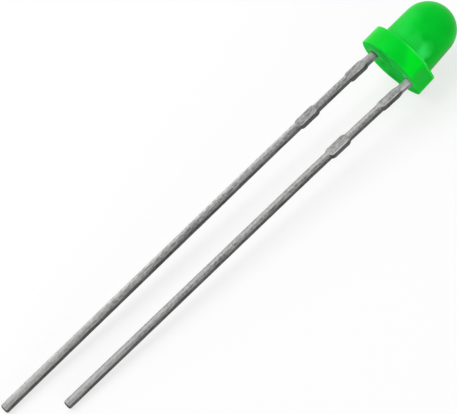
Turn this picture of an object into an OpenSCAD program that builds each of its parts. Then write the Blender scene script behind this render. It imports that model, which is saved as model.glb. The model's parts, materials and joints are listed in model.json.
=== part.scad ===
// Round indicator LED with two long leads, lying on its flange and its lead tips.
// Each piece is drawn upright: the seating plane is z = 0, the dome points to +Z and
// the leads run down from x = -lead_pitch / 2 (anode) and x = +lead_pitch / 2 (cathode).
// Then as_it_lies() lays the whole lamp down on the ground.

/* [Moulded body] */
// Height of the body, from the seating plane to the top of the dome
body_h = 4.05; // [3.6:0.05:6.5]
// Diameter of the flange
flange_d = 3.8; // [3.7:0.05:5]
// Thickness of the flange
flange_h = 1.05; // [0.9:0.05:1.4]
// Radius of the flange's two edges
flange_edge_r = 0.06; // [0.03:0.01:0.1]
// Depth of the flat that marks the cathode side
flat_depth = 0.15; // [0.05:0.01:0.2]
// Least resin between the flat and the lead beside it
flat_cover = 0.05; // [0.02:0.01:0.1]
// Diameter of the lens where it rises from the flange
lens_d = 3; // [2.95:0.05:3.4]
// Draft of the lens wall, so that it leaves its mould
lens_draft = 2.5; // [1:0.5:5]
// Height of the ring of resin that crept down each lead
meniscus_h = 0.1; // [0.05:0.01:0.2]
// Width of that ring round the lead
meniscus_w = 0.12; // [0.08:0.01:0.2]
// Thickness of the ring where it ends on the lead
meniscus_lip = 0.02; // [0.01:0.005:0.04]
// Radius of the ring's hollow flank, as a share of the distance across the flank
meniscus_hollow = 0.9; // [0.7:0.05:1.5]

/* [Leads] */
// Distance between the centres of the two leads
lead_pitch = 2.54; // [2.1:0.02:2.7]
// Length of the anode lead below the seating plane
anode_length = 25.9; // [15:0.1:32]
// Length of the cathode lead below the seating plane
cathode_length = 23.3; // [12:0.1:31]
// Thickness of the strip that the leads are stamped from
strip_t = 0.395; // [0.3:0.005:0.5]
// Width of a lead
lead_w = 0.42; // [0.3:0.01:0.5]
// Thickness that a lead loses when its edges are rolled round
rolled_off = 0.015; // [0.005:0.005:0.04]
// Radius of a lead's rolled edges
lead_edge_r = 0.1; // [0.05:0.01:0.13]
// Radius of the bulge that the shear leaves on a lead's end
tip_r = 0.32; // [0.26:0.01:0.6]
// Angle at which both leads lean over to the anode side
lead_lean = 3.3; // [0.5:0.1:4]
// Radius of the bend, just under the resin, that makes them lean
lead_bend_r = 1.5; // [0.5:0.1:3]

/* [Sheared dam bars] */
// Depth of the upper dam bar's middle below the seating plane, midway between the leads
upper_stub_z = 1.24; // [1:0.02:1.6]
// Length of the upper stub
upper_stub_length = 1.16; // [0.6:0.02:1.4]
// How far the upper stub stands out on each side of its lead
upper_stub_out = 0.01; // [0.01:0.005:0.08]
// Depth of the lower dam bar's middle, measured in the same way
lower_stub_z = 4.62; // [3.5:0.02:6]
// Length of the lower stub
lower_stub_length = 1.26; // [0.6:0.02:1.6]
// How far the lower stub stands out on each side of its lead
lower_stub_out = 0.03; // [0.01:0.005:0.08]
// Length over which a stub's end runs back into the lead
stub_taper = 0.17; // [0.05:0.01:0.25]
// How far inside the lead's side that end starts
stub_root = 0.025; // [0.01:0.005:0.05]

/* [Lead frame inside the body] */
// Height at which the leads start to lean in towards the lens
shoulder_z = 0.3; // [0.2:0.02:0.5]
// Rise over which they lean in
shoulder_rise = 0.5; // [0.3:0.02:0.55]
// Resin left between a post and the lens wall
post_cover = 0.26; // [0.2:0.01:0.35]
// Height of the reflector cup's rim above the seating plane
cup_rim_z = 2; // [1.8:0.02:2.2]
// Room left on the cup's floor round the corners of the chip
cup_room = 0.036; // [0.02:0.002:0.06]
// How much wider the cup's mouth is than its floor, on each side
cup_flare = 0.11; // [0.06:0.01:0.13]
// Width of the cup's rim
cup_rim_w = 0.09; // [0.06:0.01:0.1]
// Depth of the cup
cup_depth = 0.24; // [0.15:0.01:0.3]
// Height of the cup's straight outer wall
cup_wall_h = 0.3; // [0.2:0.02:0.4]
// Height of the anvil's toe, from its underside to the cup's rim
anvil_h = 0.75; // [0.6:0.05:0.8]
// How far the toe reaches past the lamp's axis
anvil_toe = 0.21; // [0.1:0.01:0.25]
// Height of the toe's blunt end
anvil_toe_h = 0.19; // [0.1:0.01:0.25]
// Gap between the cup and the anode's post
post_gap = 0.16; // [0.1:0.01:0.2]
// How far the anode's post stands above the cup's rim
post_rise = 0.1; // [0:0.02:0.3]
// Radius of the rounded top corners of the posts
post_corner_r = 0.08; // [0.04:0.01:0.1]

/* [Chip and wire] */
// Side of the square chip
die_w = 0.26; // [0.2:0.01:0.27]
// Height of the chip
die_h = 0.18; // [0.1:0.01:0.22]
// Thickness of the conductive paste under the chip
paste_t = 0.02; // [0.01:0.005:0.03]
// Height that the paste climbs up the chip's sides
paste_climb = 0.03; // [0.01:0.005:0.06]
// Bare ring left on the cup's floor round the paste
paste_margin = 0.01; // [0.005:0.005:0.02]
// Width of the heel of paste at its top, outside the chip's corners
paste_lip = 0.004; // [0.002:0.001:0.01]
// Diameter of the gold wire
wire_d = 0.03; // [0.02:0.005:0.05]
// Height that the wire rises above the chip before it arches over to the post
wire_rise = 0.1; // [0.04:0.01:0.15]
// Diameter of the ball that welds the wire to the chip
ball_d = 0.09; // [0.06:0.01:0.11]
// Height of that ball
ball_h = 0.03; // [0.02:0.005:0.05]
// Diameter of the stitch that welds the wire to the post
stitch_d = 0.1; // [0.08:0.01:0.12]
// Thickness that the stitch is pressed to, as a share of the wire's diameter
stitch_press = 0.8; // [0.6:0.05:1]

/* [Hidden] */
$fn = 96;
small_fn = 32;
wire_fn = 8;
merge = 0.05;

// Sizes that meet on one edge are rounded to a micron, so that they meet exactly
function micron(size) = round(size * 1000) / 1000;

flange_r = flange_d / 2;
lead_x = lead_pitch / 2;
lead_t = strip_t - rolled_off;
lead_corner_r = norm([lead_w / 2 - lead_edge_r, lead_t / 2 - lead_edge_r]) + lead_edge_r;

// The flat cuts neither the lens nor the resin round the cathode lead
flat_x = max(flange_r - flat_depth, lens_d / 2, lead_x + lead_corner_r + flat_cover);

// The dome is a sphere that the tapered wall runs into without a crease
dome_r = (lens_d / 2 - (body_h - flange_h) * tan(lens_draft)) / (1 / cos(lens_draft) - tan(lens_draft));
dome_z = body_h - dome_r;
dome_join_z = dome_z + dome_r * sin(lens_draft);
dome_join_r = dome_r * cos(lens_draft);

// The cup grows with the chip that lies in it
die_corner_r = micron(die_w / sqrt(2));
cup_floor_r = die_corner_r + cup_room;
cup_mouth_r = cup_floor_r + cup_flare;
cup_outer_r = cup_mouth_r + cup_rim_w;

// The posts stay inside the lens by post_cover, measured where the wall meets the dome
post_outer_x = micron(dome_join_r - post_cover);
post_inner_x = cup_outer_r + post_gap;
post_top_z = cup_rim_z + post_rise;
shoulder_top_z = shoulder_z + shoulder_rise;

cup_floor_z = cup_rim_z - cup_depth;
die_z = cup_floor_z + paste_t;
die_top_z = die_z + die_h;

// The wire's arch stands upright on the rise above the ball, and comes down on the stitch
wire_r = wire_d / 2;
stitch_x = (post_inner_x + post_outer_x) / 2;
stitch_h = wire_d * stitch_press;
arch_z = die_top_z + wire_rise;
arch_r = (stitch_x ^ 2 + (post_top_z - arch_z) ^ 2) / (2 * stitch_x);
arch_turn = 210;

// Each lead runs straight through the ring of resin, turns over in a short bend and then
// runs straight on to its end. Depths and lengths are measured along the lead.
bend_end = meniscus_h + lead_bend_r * lead_lean * PI / 180;
function past_the_bend(x, depth) = [
    x - lead_bend_r * (1 - cos(lead_lean)) - (depth - bend_end) * sin(lead_lean),
    0,
    -meniscus_h - lead_bend_r * sin(lead_lean) - (depth - bend_end) * cos(lead_lean)
];
anode_tip = past_the_bend(-lead_x, anode_length);
cathode_tip = past_the_bend(lead_x, cathode_length);
tip_gap = cathode_tip - anode_tip;

// The dam bars crossed the leads square to them. On leads that lean, the anode's stubs
// are therefore nearer to the body than the cathode's, each by this much from the middle.
dam_skew = lead_x * sin(lead_lean);

// How far a lead's section, and the bulge on its end, reach from its centre line
function lean_across(n) = n.x * cos(lead_lean) - n.z * sin(lead_lean);
function lean_along(n) = n.x * sin(lead_lean) + n.z * cos(lead_lean);
function section_reach(n) =
    (lead_w / 2 - lead_edge_r) * abs(lean_across(n))
    + (lead_t / 2 - lead_edge_r) * abs(n.y)
    + lead_edge_r * sqrt(1 - lean_along(n) ^ 2);
function bulge_reach(n) =
    tip_r * (norm([lean_across(n), lean_along(n)]) + lean_along(n)) + lead_t / 2 * abs(n.y);
tip_side = tip_r - sqrt(tip_r ^ 2 - lead_w ^ 2 / 4);

// Direction of the ground seen from the upright lamp: the flange's rim and both lead
// tips reach equally far along it. The shorter cathode lead rolls the lamp a little.
function toward_ground(nz) =
    let (nx = -nz * tip_gap.z / tip_gap.x)
    [nx, sqrt(1 - nx ^ 2 - nz ^ 2), nz];
function rim_reach(nz) =
    (flange_r - flange_edge_r) * sqrt(1 - nz ^ 2) + flange_edge_r * (1 + nz);
function next_nz(n) = (anode_tip.x * n.x + section_reach(n) - rim_reach(n.z)) / -anode_tip.z;
function settle(nz, steps) = steps == 0 ? nz : settle(next_nz(toward_ground(nz)), steps - 1);

ground = toward_ground(settle(0, 16));
axis_level = norm([ground.x, ground.y]);
roll_angle = atan2(ground.x, ground.y);
lay_angle = atan2(-axis_level, -ground.z);
lift = rim_reach(ground.z);

// The origin is under the middle of the box that the lying lamp fills
to_tips = [ground.z * sin(roll_angle), ground.z * cos(roll_angle), -axis_level];
to_anode_side = [-cos(roll_angle), sin(roll_angle), 0];
flat_chord = sqrt(flange_r ^ 2 - flat_x ^ 2);
dome_reach = dome_z * axis_level + dome_r;
tips_reach = anode_tip * to_tips + bulge_reach(to_tips);
anode_side_reach = max(
    flange_r,
    past_the_bend(-lead_x, anode_length - tip_side) * to_anode_side + section_reach(to_anode_side)
);
flat_side_reach = flat_x * cos(roll_angle) + flat_chord * sin(roll_angle);
middle_x = (dome_reach - tips_reach) / 2;
middle_y = (anode_side_reach - flat_side_reach) / 2;

module as_it_lies() {
    translate([-middle_x, -middle_y, lift])
        rotate([0, 0, -90])
            rotate([lay_angle, 0, 0])
                rotate([0, 0, roll_angle])
                    children();
}

// A lead's section: a rectangle with rolled edges
module rolled_section() {
    square([lead_w, lead_t - 2 * lead_edge_r], center = true);
    square([lead_w - 2 * lead_edge_r, lead_t], center = true);
    for (x = [-1, 1], y = [-1, 1])
        translate([x * (lead_w / 2 - lead_edge_r), y * (lead_t / 2 - lead_edge_r)])
            circle(r = lead_edge_r, $fn = small_fn);
}

// The short stretch inside the flange and the ring of resin, and the bend below them
module lead_root() {
    translate([0, 0, -meniscus_h])
        linear_extrude(meniscus_h + shoulder_z)
            rolled_section();
    translate([-lead_bend_r, 0, -meniscus_h])
        rotate([-90, 0, 0])
            rotate_extrude(angle = lead_lean)
                translate([lead_bend_r, 0])
                    rolled_section();
}

// Takes what is drawn on a straight lead to its place below the bend
module below_bend() {
    translate([-lead_bend_r, 0, -meniscus_h])
        rotate([0, lead_lean, 0])
            translate([lead_bend_r, 0, bend_end])
                children();
}

// The long straight stretch, from the bend down to its sheared and bulged end
module lead_wire(length) {
    translate([0, 0, tip_r - length])
        linear_extrude(length - tip_r - bend_end)
            rolled_section();
    intersection() {
        translate([0, 0, -length])
            linear_extrude(tip_r + merge)
                rolled_section();
        translate([0, 0, tip_r - length])
            rotate([90, 0, 0])
                cylinder(h = 2 * lead_t, r = tip_r, center = true, $fn = small_fn);
    }
}

// Strip metal in the plane of the two leads, drawn as x and height
module strip_plate() {
    rotate([90, 0, 0])
        linear_extrude(strip_t, center = true)
            children();
}

// What the shear left of a dam bar: flat strip, wider than the lead, with tapered ends
module dam_stub(depth, length, out) {
    root_x = lead_w / 2 - stub_root;
    wide_x = lead_w / 2 + out;
    end_z = length / 2;
    full_z = length / 2 - stub_taper;
    translate([0, 0, -depth])
        strip_plate()
            polygon([
                [-root_x, -end_z], [root_x, -end_z], [wide_x, -full_z], [wide_x, full_z],
                [root_x, end_z], [-root_x, end_z], [-wide_x, full_z], [-wide_x, -full_z]
            ]);
}

// A lead below the body, centred on the place where it leaves the resin. skew is how much
// further down its stubs are than the middle of the dam bars.
module outer_lead(length, skew) {
    lead_root();
    below_bend() {
        lead_wire(length);
        dam_stub(upper_stub_z + skew, upper_stub_length, upper_stub_out);
        dam_stub(lower_stub_z + skew, lower_stub_length, lower_stub_out);
    }
}

// The blade of strip above a lead, on the side of positive x: a shoulder leads from the
// pitch in to the post, whose two top corners are rounded
module post_plate(top_z) {
    corner_z = top_z - post_corner_r;
    polygon([
        [lead_x - lead_w / 2, shoulder_z - merge],
        [lead_x + lead_w / 2, shoulder_z - merge],
        [lead_x + lead_w / 2, shoulder_z],
        [post_outer_x, shoulder_top_z],
        [post_outer_x, corner_z],
        [post_outer_x - post_corner_r, corner_z],
        [post_outer_x - post_corner_r, top_z],
        [post_inner_x + post_corner_r, top_z],
        [post_inner_x + post_corner_r, corner_z],
        [post_inner_x, corner_z],
        [post_inner_x, shoulder_top_z],
        [lead_x - lead_w / 2, shoulder_z]
    ]);
    for (x = [post_inner_x + post_corner_r, post_outer_x - post_corner_r])
        translate([x, corner_z])
            circle(r = post_corner_r, $fn = small_fn);
}

module anode_metal() {
    translate([-lead_x, 0, 0])
        outer_lead(anode_length, -dam_skew);
    mirror([1, 0, 0])
        strip_plate()
            post_plate(post_top_z);
}

// The anvil is the strip's blade, with the cup upset on its end above the lamp's axis
module cathode_metal() {
    anvil_z = cup_rim_z - anvil_h;
    cup_base_z = cup_rim_z - cup_wall_h;
    difference() {
        union() {
            translate([lead_x, 0, 0])
                outer_lead(cathode_length, dam_skew);
            strip_plate() {
                post_plate(cup_rim_z);
                polygon([
                    [post_inner_x + merge, shoulder_top_z],
                    [post_inner_x + merge, cup_base_z + merge],
                    [0, cup_base_z + merge],
                    [-anvil_toe, anvil_z + anvil_toe_h],
                    [-anvil_toe, anvil_z]
                ]);
            }
            translate([0, 0, cup_base_z])
                cylinder(h = cup_wall_h, r = cup_outer_r);
            translate([0, 0, anvil_z])
                cylinder(h = anvil_h - cup_wall_h, r1 = strip_t / 2 + merge, r2 = cup_outer_r);
        }
        reflector_hollow();
    }
}

module reflector_hollow() {
    translate([0, 0, cup_floor_z])
        cylinder(h = cup_depth, r1 = cup_floor_r, r2 = cup_mouth_r);
    translate([0, 0, cup_rim_z])
        cylinder(h = merge, r = cup_mouth_r);
}

module chip() {
    translate([-die_w / 2, -die_w / 2, die_z])
        cube([die_w, die_w, die_h]);
}

// A low heel of paste, squeezed out from under the chip
module paste() {
    difference() {
        translate([0, 0, cup_floor_z])
            cylinder(
                h = paste_t + paste_climb,
                r1 = cup_floor_r - paste_margin,
                r2 = die_corner_r + paste_lip,
                $fn = small_fn
            );
        chip();
    }
}

// The arch runs on into the post, whose top cuts it off under the stitch
module wire() {
    translate([0, 0, die_top_z])
        cylinder(h = ball_h, d = ball_d, $fn = small_fn);
    translate([0, 0, die_top_z])
        cylinder(h = wire_rise, r = wire_r, $fn = wire_fn);
    difference() {
        translate([-arch_r, 0, arch_z])
            rotate([90, 0, 0])
                rotate_extrude(angle = arch_turn, $fn = 2 * small_fn)
                    translate([arch_r, 0])
                        circle(r = wire_r, $fn = wire_fn);
        translate([-2 * arch_r - wire_d, -wire_d, post_top_z - arch_r])
            cube([arch_r, 2 * wire_d, arch_r]);
    }
    translate([-stitch_x, 0, post_top_z])
        cylinder(h = stitch_h, d = stitch_d, $fn = small_fn);
}

// The flange, with both edges rounded, and the flat cut off its cathode side
module flange() {
    difference() {
        rotate_extrude() {
            square([flange_r - flange_edge_r, flange_h]);
            translate([0, flange_edge_r])
                square([flange_r, flange_h - 2 * flange_edge_r]);
            for (z = [flange_edge_r, flange_h - flange_edge_r])
                translate([flange_r - flange_edge_r, z])
                    circle(r = flange_edge_r, $fn = small_fn);
        }
        translate([flat_x, -flange_r, -merge])
            cube([flange_r, flange_d, flange_h + 2 * merge]);
    }
}

// The tapered wall and the dome that closes it
module lens() {
    translate([0, 0, flange_h - merge])
        cylinder(
            h = dome_join_z - flange_h + merge,
            r1 = dome_join_r + (dome_join_z - flange_h + merge) * tan(lens_draft),
            r2 = dome_join_r
        );
    intersection() {
        translate([0, 0, dome_z])
            sphere(r = dome_r);
        translate([-dome_r, -dome_r, dome_join_z])
            cube([2 * dome_r, 2 * dome_r, dome_r]);
    }
}

// Resin that crept down a lead before it set: a ring with a hollow, curved flank, which
// goes no further than the flat
module meniscus() {
    top_r = lead_corner_r + meniscus_lip;
    ring_w = min(meniscus_w, flat_x - lead_x - top_r);
    chord = norm([ring_w, meniscus_h]);
    hollow_r = meniscus_hollow * chord;
    hollow_offset = sqrt(hollow_r ^ 2 - (chord / 2) ^ 2) / chord;
    hollow_x = top_r + ring_w / 2 + meniscus_h * hollow_offset;
    hollow_z = -meniscus_h / 2 - ring_w * hollow_offset;
    rotate_extrude($fn = 2 * small_fn)
        difference() {
            translate([0, -meniscus_h])
                square([hollow_x, meniscus_h + merge]);
            translate([hollow_x, hollow_z])
                circle(r = hollow_r, $fn = 2 * small_fn);
        }
}

module epoxy_lens() {
    color("limegreen", 0.85)
        as_it_lies()
            difference() {
                union() {
                    flange();
                    lens();
                    for (x = [-lead_x, lead_x])
                        translate([x, 0, 0])
                            meniscus();
                }
                anode_metal();
                cathode_metal();
                paste();
                chip();
                wire();
            }
}

module anode_lead() {
    color("silver")
        as_it_lies()
            anode_metal();
}

module cathode_lead() {
    color("silver")
        as_it_lies()
            cathode_metal();
}

module led_die() {
    color("gold")
        as_it_lies()
            chip();
}

module die_attach() {
    color("lightgray")
        as_it_lies()
            paste();
}

module bond_wire() {
    color("goldenrod")
        as_it_lies()
            wire();
}

epoxy_lens();
anode_lead();
cathode_lead();
led_die();
die_attach();
bond_wire();
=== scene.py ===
# %% [markdown]
# # A green indicator lamp on a pale table
# The lamp is one casting of tinted resin on two stamped leads. The leads' upper
# ends, a chip, its paste and a gold wire are cast in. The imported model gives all
# six pieces, each in its place. The chip, the paste and the wire stay as packed
# and only get a finish. The resin body and the leads below it are drawn again
# here, because real ones bow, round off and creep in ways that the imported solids
# leave out.

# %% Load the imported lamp
import json
import math

import bmesh
import bpy
from mathutils import Euler, Matrix, Vector
from mathutils.noise import noise as ripple


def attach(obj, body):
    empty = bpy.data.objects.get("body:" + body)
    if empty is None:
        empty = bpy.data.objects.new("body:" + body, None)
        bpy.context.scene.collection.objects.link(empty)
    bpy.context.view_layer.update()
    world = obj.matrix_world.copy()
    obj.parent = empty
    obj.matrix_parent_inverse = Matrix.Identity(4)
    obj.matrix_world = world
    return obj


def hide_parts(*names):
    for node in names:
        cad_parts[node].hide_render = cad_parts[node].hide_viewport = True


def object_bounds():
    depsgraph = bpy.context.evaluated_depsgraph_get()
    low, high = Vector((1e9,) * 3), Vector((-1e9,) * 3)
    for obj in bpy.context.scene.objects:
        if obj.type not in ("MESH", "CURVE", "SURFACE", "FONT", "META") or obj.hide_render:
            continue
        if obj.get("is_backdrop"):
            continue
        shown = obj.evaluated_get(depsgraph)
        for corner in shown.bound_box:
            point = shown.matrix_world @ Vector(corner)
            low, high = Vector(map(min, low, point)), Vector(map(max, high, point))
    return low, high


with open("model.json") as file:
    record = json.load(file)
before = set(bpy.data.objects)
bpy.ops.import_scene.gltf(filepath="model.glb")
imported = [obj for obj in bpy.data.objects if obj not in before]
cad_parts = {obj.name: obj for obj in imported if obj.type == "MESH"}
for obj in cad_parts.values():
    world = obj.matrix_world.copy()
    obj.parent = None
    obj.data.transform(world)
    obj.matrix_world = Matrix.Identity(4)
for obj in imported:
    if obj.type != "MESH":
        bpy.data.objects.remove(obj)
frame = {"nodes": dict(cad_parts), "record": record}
packed_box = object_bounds()
nodes = frame["nodes"]
MM = 0.001

print("pieces:", ", ".join(sorted(nodes)))

# %% [markdown]
# ## The lamp's own axes
# The lamp lies on its side, so its axis dips a little and its flat is turned.
# Rolling marks, stubs and creeping resin follow the lamp and not the table. The
# axes could be typed in as angles, but then they would be wrong for a lamp that
# lies another way. So the seat and the lens's axis are taken from the record's
# mounts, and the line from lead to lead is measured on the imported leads, just
# under the seat.

# %% Find the lamp's axes
ROOT_REACH = 0.25 * MM      # a lead's points this close to the seat are its root

mounts = {mount["name"]: mount for mount in frame["record"]["mounts"]}
seat = Vector(mounts["seating_plane"]["pos_m"])
lens_way = Vector(mounts["flange_rim"]["axis"]).normalized()


def lead_root(node):
    """Middle of a lead's points that lie close to the seat."""
    near = [v.co for v in nodes[node].data.vertices
            if abs((v.co - seat).dot(lens_way)) < ROOT_REACH]
    return sum(near, Vector()) / len(near)


across = lead_root("cathode_lead") - lead_root("anode_lead")
half_pitch = across.length / MM / 2
across -= lens_way * across.dot(lens_way)
across.normalize()
front_to_back = lens_way.cross(across)

print(f"lead pitch {2 * half_pitch:.2f} mm, lens axis", [round(c, 4) for c in lens_way])

# %% From the world to the lamp's millimetres, and back
to_lamp = Matrix((across, front_to_back, lens_way))
to_world = to_lamp.transposed()


def in_lamp(point):
    """A point of the world in the lamp's axes, in millimetres."""
    return to_lamp @ (point - seat) / MM


def in_world(point):
    """A point given in the lamp's millimetres, in the world."""
    return seat + to_world @ Vector(point) * MM


print("the world's origin is at", [round(c, 2) for c in in_lamp(Vector())], "in the lamp's mm")

# %% [markdown]
# ## The leads below the resin
# The two leads differ in length by 2.6 mm, so that the anode can be told by touch.
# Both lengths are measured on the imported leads.

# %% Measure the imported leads
END_REACH = 0.15            # a lead's points this close to its lowest one are its end


def tip_of(node):
    """Middle of a packed lead's end."""
    points = [in_lamp(v.co) for v in nodes[node].data.vertices]
    end = min(p.z for p in points)
    last = [p for p in points if p.z < end + END_REACH]
    return Vector((sum(p.x for p in last) / len(last), 0, end))


for node in ("anode_lead", "cathode_lead"):
    print(f"{node}: {-tip_of(node).z:.2f} mm below the seat")

# %% [markdown]
# ### The shape of a section
# The real leads are punched from strip. The die leaves the strip's edges round,
# and rolling and handling round them more, so a lead is neither square nor round.
# It could be a box with a bevel, but a bevel can't turn slowly into another
# section, or bow along the way. So a stack of sections follows each lead's middle
# line. Every section is a superellipse, a curve that one exponent takes from a
# circle to a box: nearly round on the plain runs, and boxy at the stubs.

# %% One section of a lead
RING = 56                   # points round a section
PLAIN_EXPONENT = 2.3        # 2 would be an ellipse


def superellipse(half_width, half_depth, exponent):
    """Points round a section, from +x to +y and on."""
    ring = []
    for step in range(RING):
        angle = 2 * math.pi * step / RING
        c, s = math.cos(angle), math.sin(angle)
        ring.append((half_width * math.copysign(abs(c) ** (2 / exponent), c),
                     half_depth * math.copysign(abs(s) ** (2 / exponent), s)))
    return ring


corner = max(math.hypot(x, y) for x, y in superellipse(1, 1, PLAIN_EXPONENT))
print(f"a plain section's corners lie {corner:.2f} half widths out, and a box's 1.41")

# %% [markdown]
# ### What changes along a lead
# Dam bars hold the leads together while they are stamped and cast. They are cut
# off last, which leaves two wider stubs on each lead. The bars crossed leaning
# leads squarely, so the two leads' stubs lie a little apart in depth. Each lead
# bows gently, and is drawn wider towards its tip, as it looks from where the
# camera stands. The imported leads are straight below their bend, and 0.42 mm wide
# on their plain runs, which is the size to build from. All this could be pulled
# into shape by hand on a mesh, but as numbers it can be read and compared.

# %% Sizes of the leads, in millimetres
HIDDEN = 0.3                # how far the drawn part starts inside the resin
BEND = 0.12                 # depth at which a lead begins to lean
TIP_LEAN = 1.4              # about how far the lean takes a tip to the anode side
BACK_FACE = 0.19            # the table side lies here, and growth goes to the other side
FLATNESS = 0.92             # thickness of a plain run, against its width
STUBS = ((1.24, 0.58), (4.62, 0.63))    # depth and half length of each stub
STUB_TAPER = 0.18
STUB_THICK = 0.2            # half thickness
STUB_BOXINESS = 4.5         # what a stub adds to the exponent
BOX_SOONER = 1.5            # a taper is boxy sooner than it is wide, as sheared metal is
END_ROUND = 0.13            # rounding of the tip, left by the shear and the tumbling

# skew: how far down the stubs are shifted. half: the half width at the top.
# growth: what it gains to the tip. stubs: the half width at each stub.
# bends: the bow, as shares of the length and the sideways offsets there.
ANODE = dict(
    skew=-0.073, half=0.2285, growth=0.038, stubs=(0.256, 0.27),
    bends=((0, -0.03), (0.04, -0.07), (0.23, -0.075), (0.4, -0.036), (0.64, 0.023), (1, 0.115)))
CATHODE = dict(
    skew=0.073, half=0.2245, growth=0.02, stubs=(0.228, 0.279),
    bends=((0, 0.05), (0.05, 0.005), (0.2, -0.046), (0.3, -0.058), (0.7, -0.01), (1, 0.02)))

for name, lead in (("anode", ANODE), ("cathode", CATHODE)):
    print(f"{name}: {2 * lead['half']:.3f} mm wide at the top,",
          f"{2 * (lead['half'] + lead['growth']):.3f} mm at the tip")


# %% How a lead bows
def swing(bends, share):
    """Sideways offset at a share of the length, on a smooth line through the bends."""
    k = max(i for i in range(len(bends) - 1) if bends[i][0] <= share)
    (start, offset), (end, next_offset) = bends[k], bends[k + 1]

    def slope(i):
        before, after = bends[max(i - 1, 0)], bends[min(i + 1, len(bends) - 1)]
        return (after[1] - before[1]) / (after[0] - before[0])

    run = end - start
    t = (share - start) / run
    return ((2 * t ** 3 - 3 * t ** 2 + 1) * offset + (t ** 3 - 2 * t ** 2 + t) * run * slope(k)
            + (3 * t ** 2 - 2 * t ** 3) * next_offset + (t ** 3 - t ** 2) * run * slope(k + 1))


print(f"halfway down, the anode is {swing(ANODE['bends'], 0.5):.3f} mm off the straight line,",
      f"and the cathode {swing(CATHODE['bends'], 0.5):.3f} mm")


# %% The section at any depth
def stub_share(depth, lead):
    """0 on a plain run, 1 on a stub, with the stub's half width."""
    for (middle, half), width in zip(STUBS, lead["stubs"]):
        inside = (half - abs(depth - middle - lead["skew"])) / STUB_TAPER
        if inside > 0:
            return min(inside, 1), width
    return 0, 0


def section_at(depth, length, lead):
    """Half width, half thickness and exponent of the section at a depth below the seat."""
    width = lead["half"] + lead["growth"] * (max(depth, 0) / length)
    thick = FLATNESS * width
    stub, stub_width = stub_share(depth, lead)
    width += (stub_width - width) * stub
    thick += (STUB_THICK - thick) * stub
    exponent = PLAIN_EXPONENT + STUB_BOXINESS * min(1, BOX_SOONER * stub)
    to_end = length - depth
    if to_end < END_ROUND:
        round_off = END_ROUND - math.sqrt(max(END_ROUND ** 2 - (END_ROUND - to_end) ** 2, 0))
        width, thick = width - round_off, thick - round_off
    return width, thick, exponent


# %% Where the sections lie
FINE_STEP, PLAIN_STEP = 0.03, 0.2
STUB_MARGIN = 0.1           # the fine steps start this far from a stub
NECK = 0.2                  # and they run from inside the resin to this depth
PLAIN_END = 0.32            # the even steps stop this far from the tip
GROOVE_ROWS = (0.3, 0.28, 0.26, 0.24)   # sections at a fine groove near the tip
END_ROWS = 8                # sections on the rounded end


def depths(length, lead):
    """The sections' depths: close together at the neck, the stubs and the tip."""
    places, depth = [], -HIDDEN
    while depth < length - PLAIN_END:
        places.append(depth)
        to_stub = min(abs(depth - middle - lead["skew"]) - half for middle, half in STUBS)
        depth += FINE_STEP if to_stub < STUB_MARGIN or depth < NECK else PLAIN_STEP
    places += [length - back for back in GROOVE_ROWS + (END_ROUND,)]
    quarter = [math.sin(step * math.pi / (2 * END_ROWS)) for step in range(1, END_ROWS + 1)]
    return places + [length - END_ROUND * (1 - rise) for rise in quarter]


print(len(depths(-tip_of("anode_lead").z, ANODE)), "sections in the anode lead")

# %% [markdown]
# ### From sections to a closed skin
# Faces between neighbouring sections make the skin, and a face at each end closes
# it. A low noise dents the sections a little, as handling does. The posts, the
# anvil and the cup inside the resin are good as packed, so they are copied from
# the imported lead, cut at the height where the drawn part begins, and closed.

# %% Draw a lead
GROOVE_BACK = 0.27          # the groove's distance from the end
GROOVE_HALF, GROOVE_DEEP = 0.015, 0.006
DENT = 0.02                 # a dent moves a point by at most this share
DENT_SCALE = (9, 9, 2.5)    # dents per millimetre, about, across and along


def drawn_lead(bm, node, lead):
    """Adds a closed skin from inside the resin to the lead's tip."""
    tip = tip_of(node)
    length = -tip.z
    root_x = math.copysign(half_pitch, tip.x + TIP_LEAN)
    rings = []
    for depth in depths(length, lead):
        share = max(depth - BEND, 0) / (length - BEND)
        width, thick, exponent = section_at(depth, length, lead)
        middle = root_x + (tip.x - root_x) * share + swing(lead["bends"], share)
        groove = GROOVE_DEEP if abs(length - depth - GROOVE_BACK) < GROOVE_HALF else 0
        ring = []
        for x, y in superellipse(width - groove, thick - groove, exponent):
            dent = 1 + DENT * ripple(Vector([k * c for k, c in zip(DENT_SCALE, (x, y, depth))]))
            point = (middle + x * dent, y * dent + BACK_FACE - thick, -depth)
            ring.append(bm.verts.new(in_world(point)))
        rings.append(ring)
    for above, below in zip(rings, rings[1:]):
        for i in range(RING):
            j = (i + 1) % RING
            bm.faces.new((above[i], above[j], below[j], below[i]))
    bm.faces.new(rings[0][::-1])
    bm.faces.new(rings[-1])


# %% Keep the plates inside the resin
WELD = 1e-7                 # points closer than this, in metres, are one


def keep_plates(bm, node):
    """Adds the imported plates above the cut, closed where they were cut."""
    plates = bmesh.new()
    plates.from_mesh(nodes[node].data)
    bmesh.ops.remove_doubles(plates, verts=plates.verts, dist=WELD)
    cut = bmesh.ops.bisect_plane(
        plates, geom=plates.verts[:] + plates.edges[:] + plates.faces[:],
        plane_co=in_world((0, 0, HIDDEN)), plane_no=-lens_way, clear_outer=True)
    rim = [edge for edge in cut["geom_cut"] if isinstance(edge, bmesh.types.BMEdge)]
    bmesh.ops.holes_fill(plates, edges=rim)
    loose = bpy.data.meshes.new("plates")
    plates.to_mesh(loose)
    plates.free()
    bm.from_mesh(loose)
    bpy.data.meshes.remove(loose)


# %% [markdown]
# ### From a drawing to a piece
# A piece is a mesh and an object that shows it. It hides the imported node that it
# stands for, and moves with the root body. All faces are shaded smooth, because real edges are
# rounded.
# On a lead, edges over 40 degrees stay sharp, or the shading would bleed from the
# faces into the sheared steps.

# %% Make the pieces of a drawing
CREASE = math.radians(40)


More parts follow.
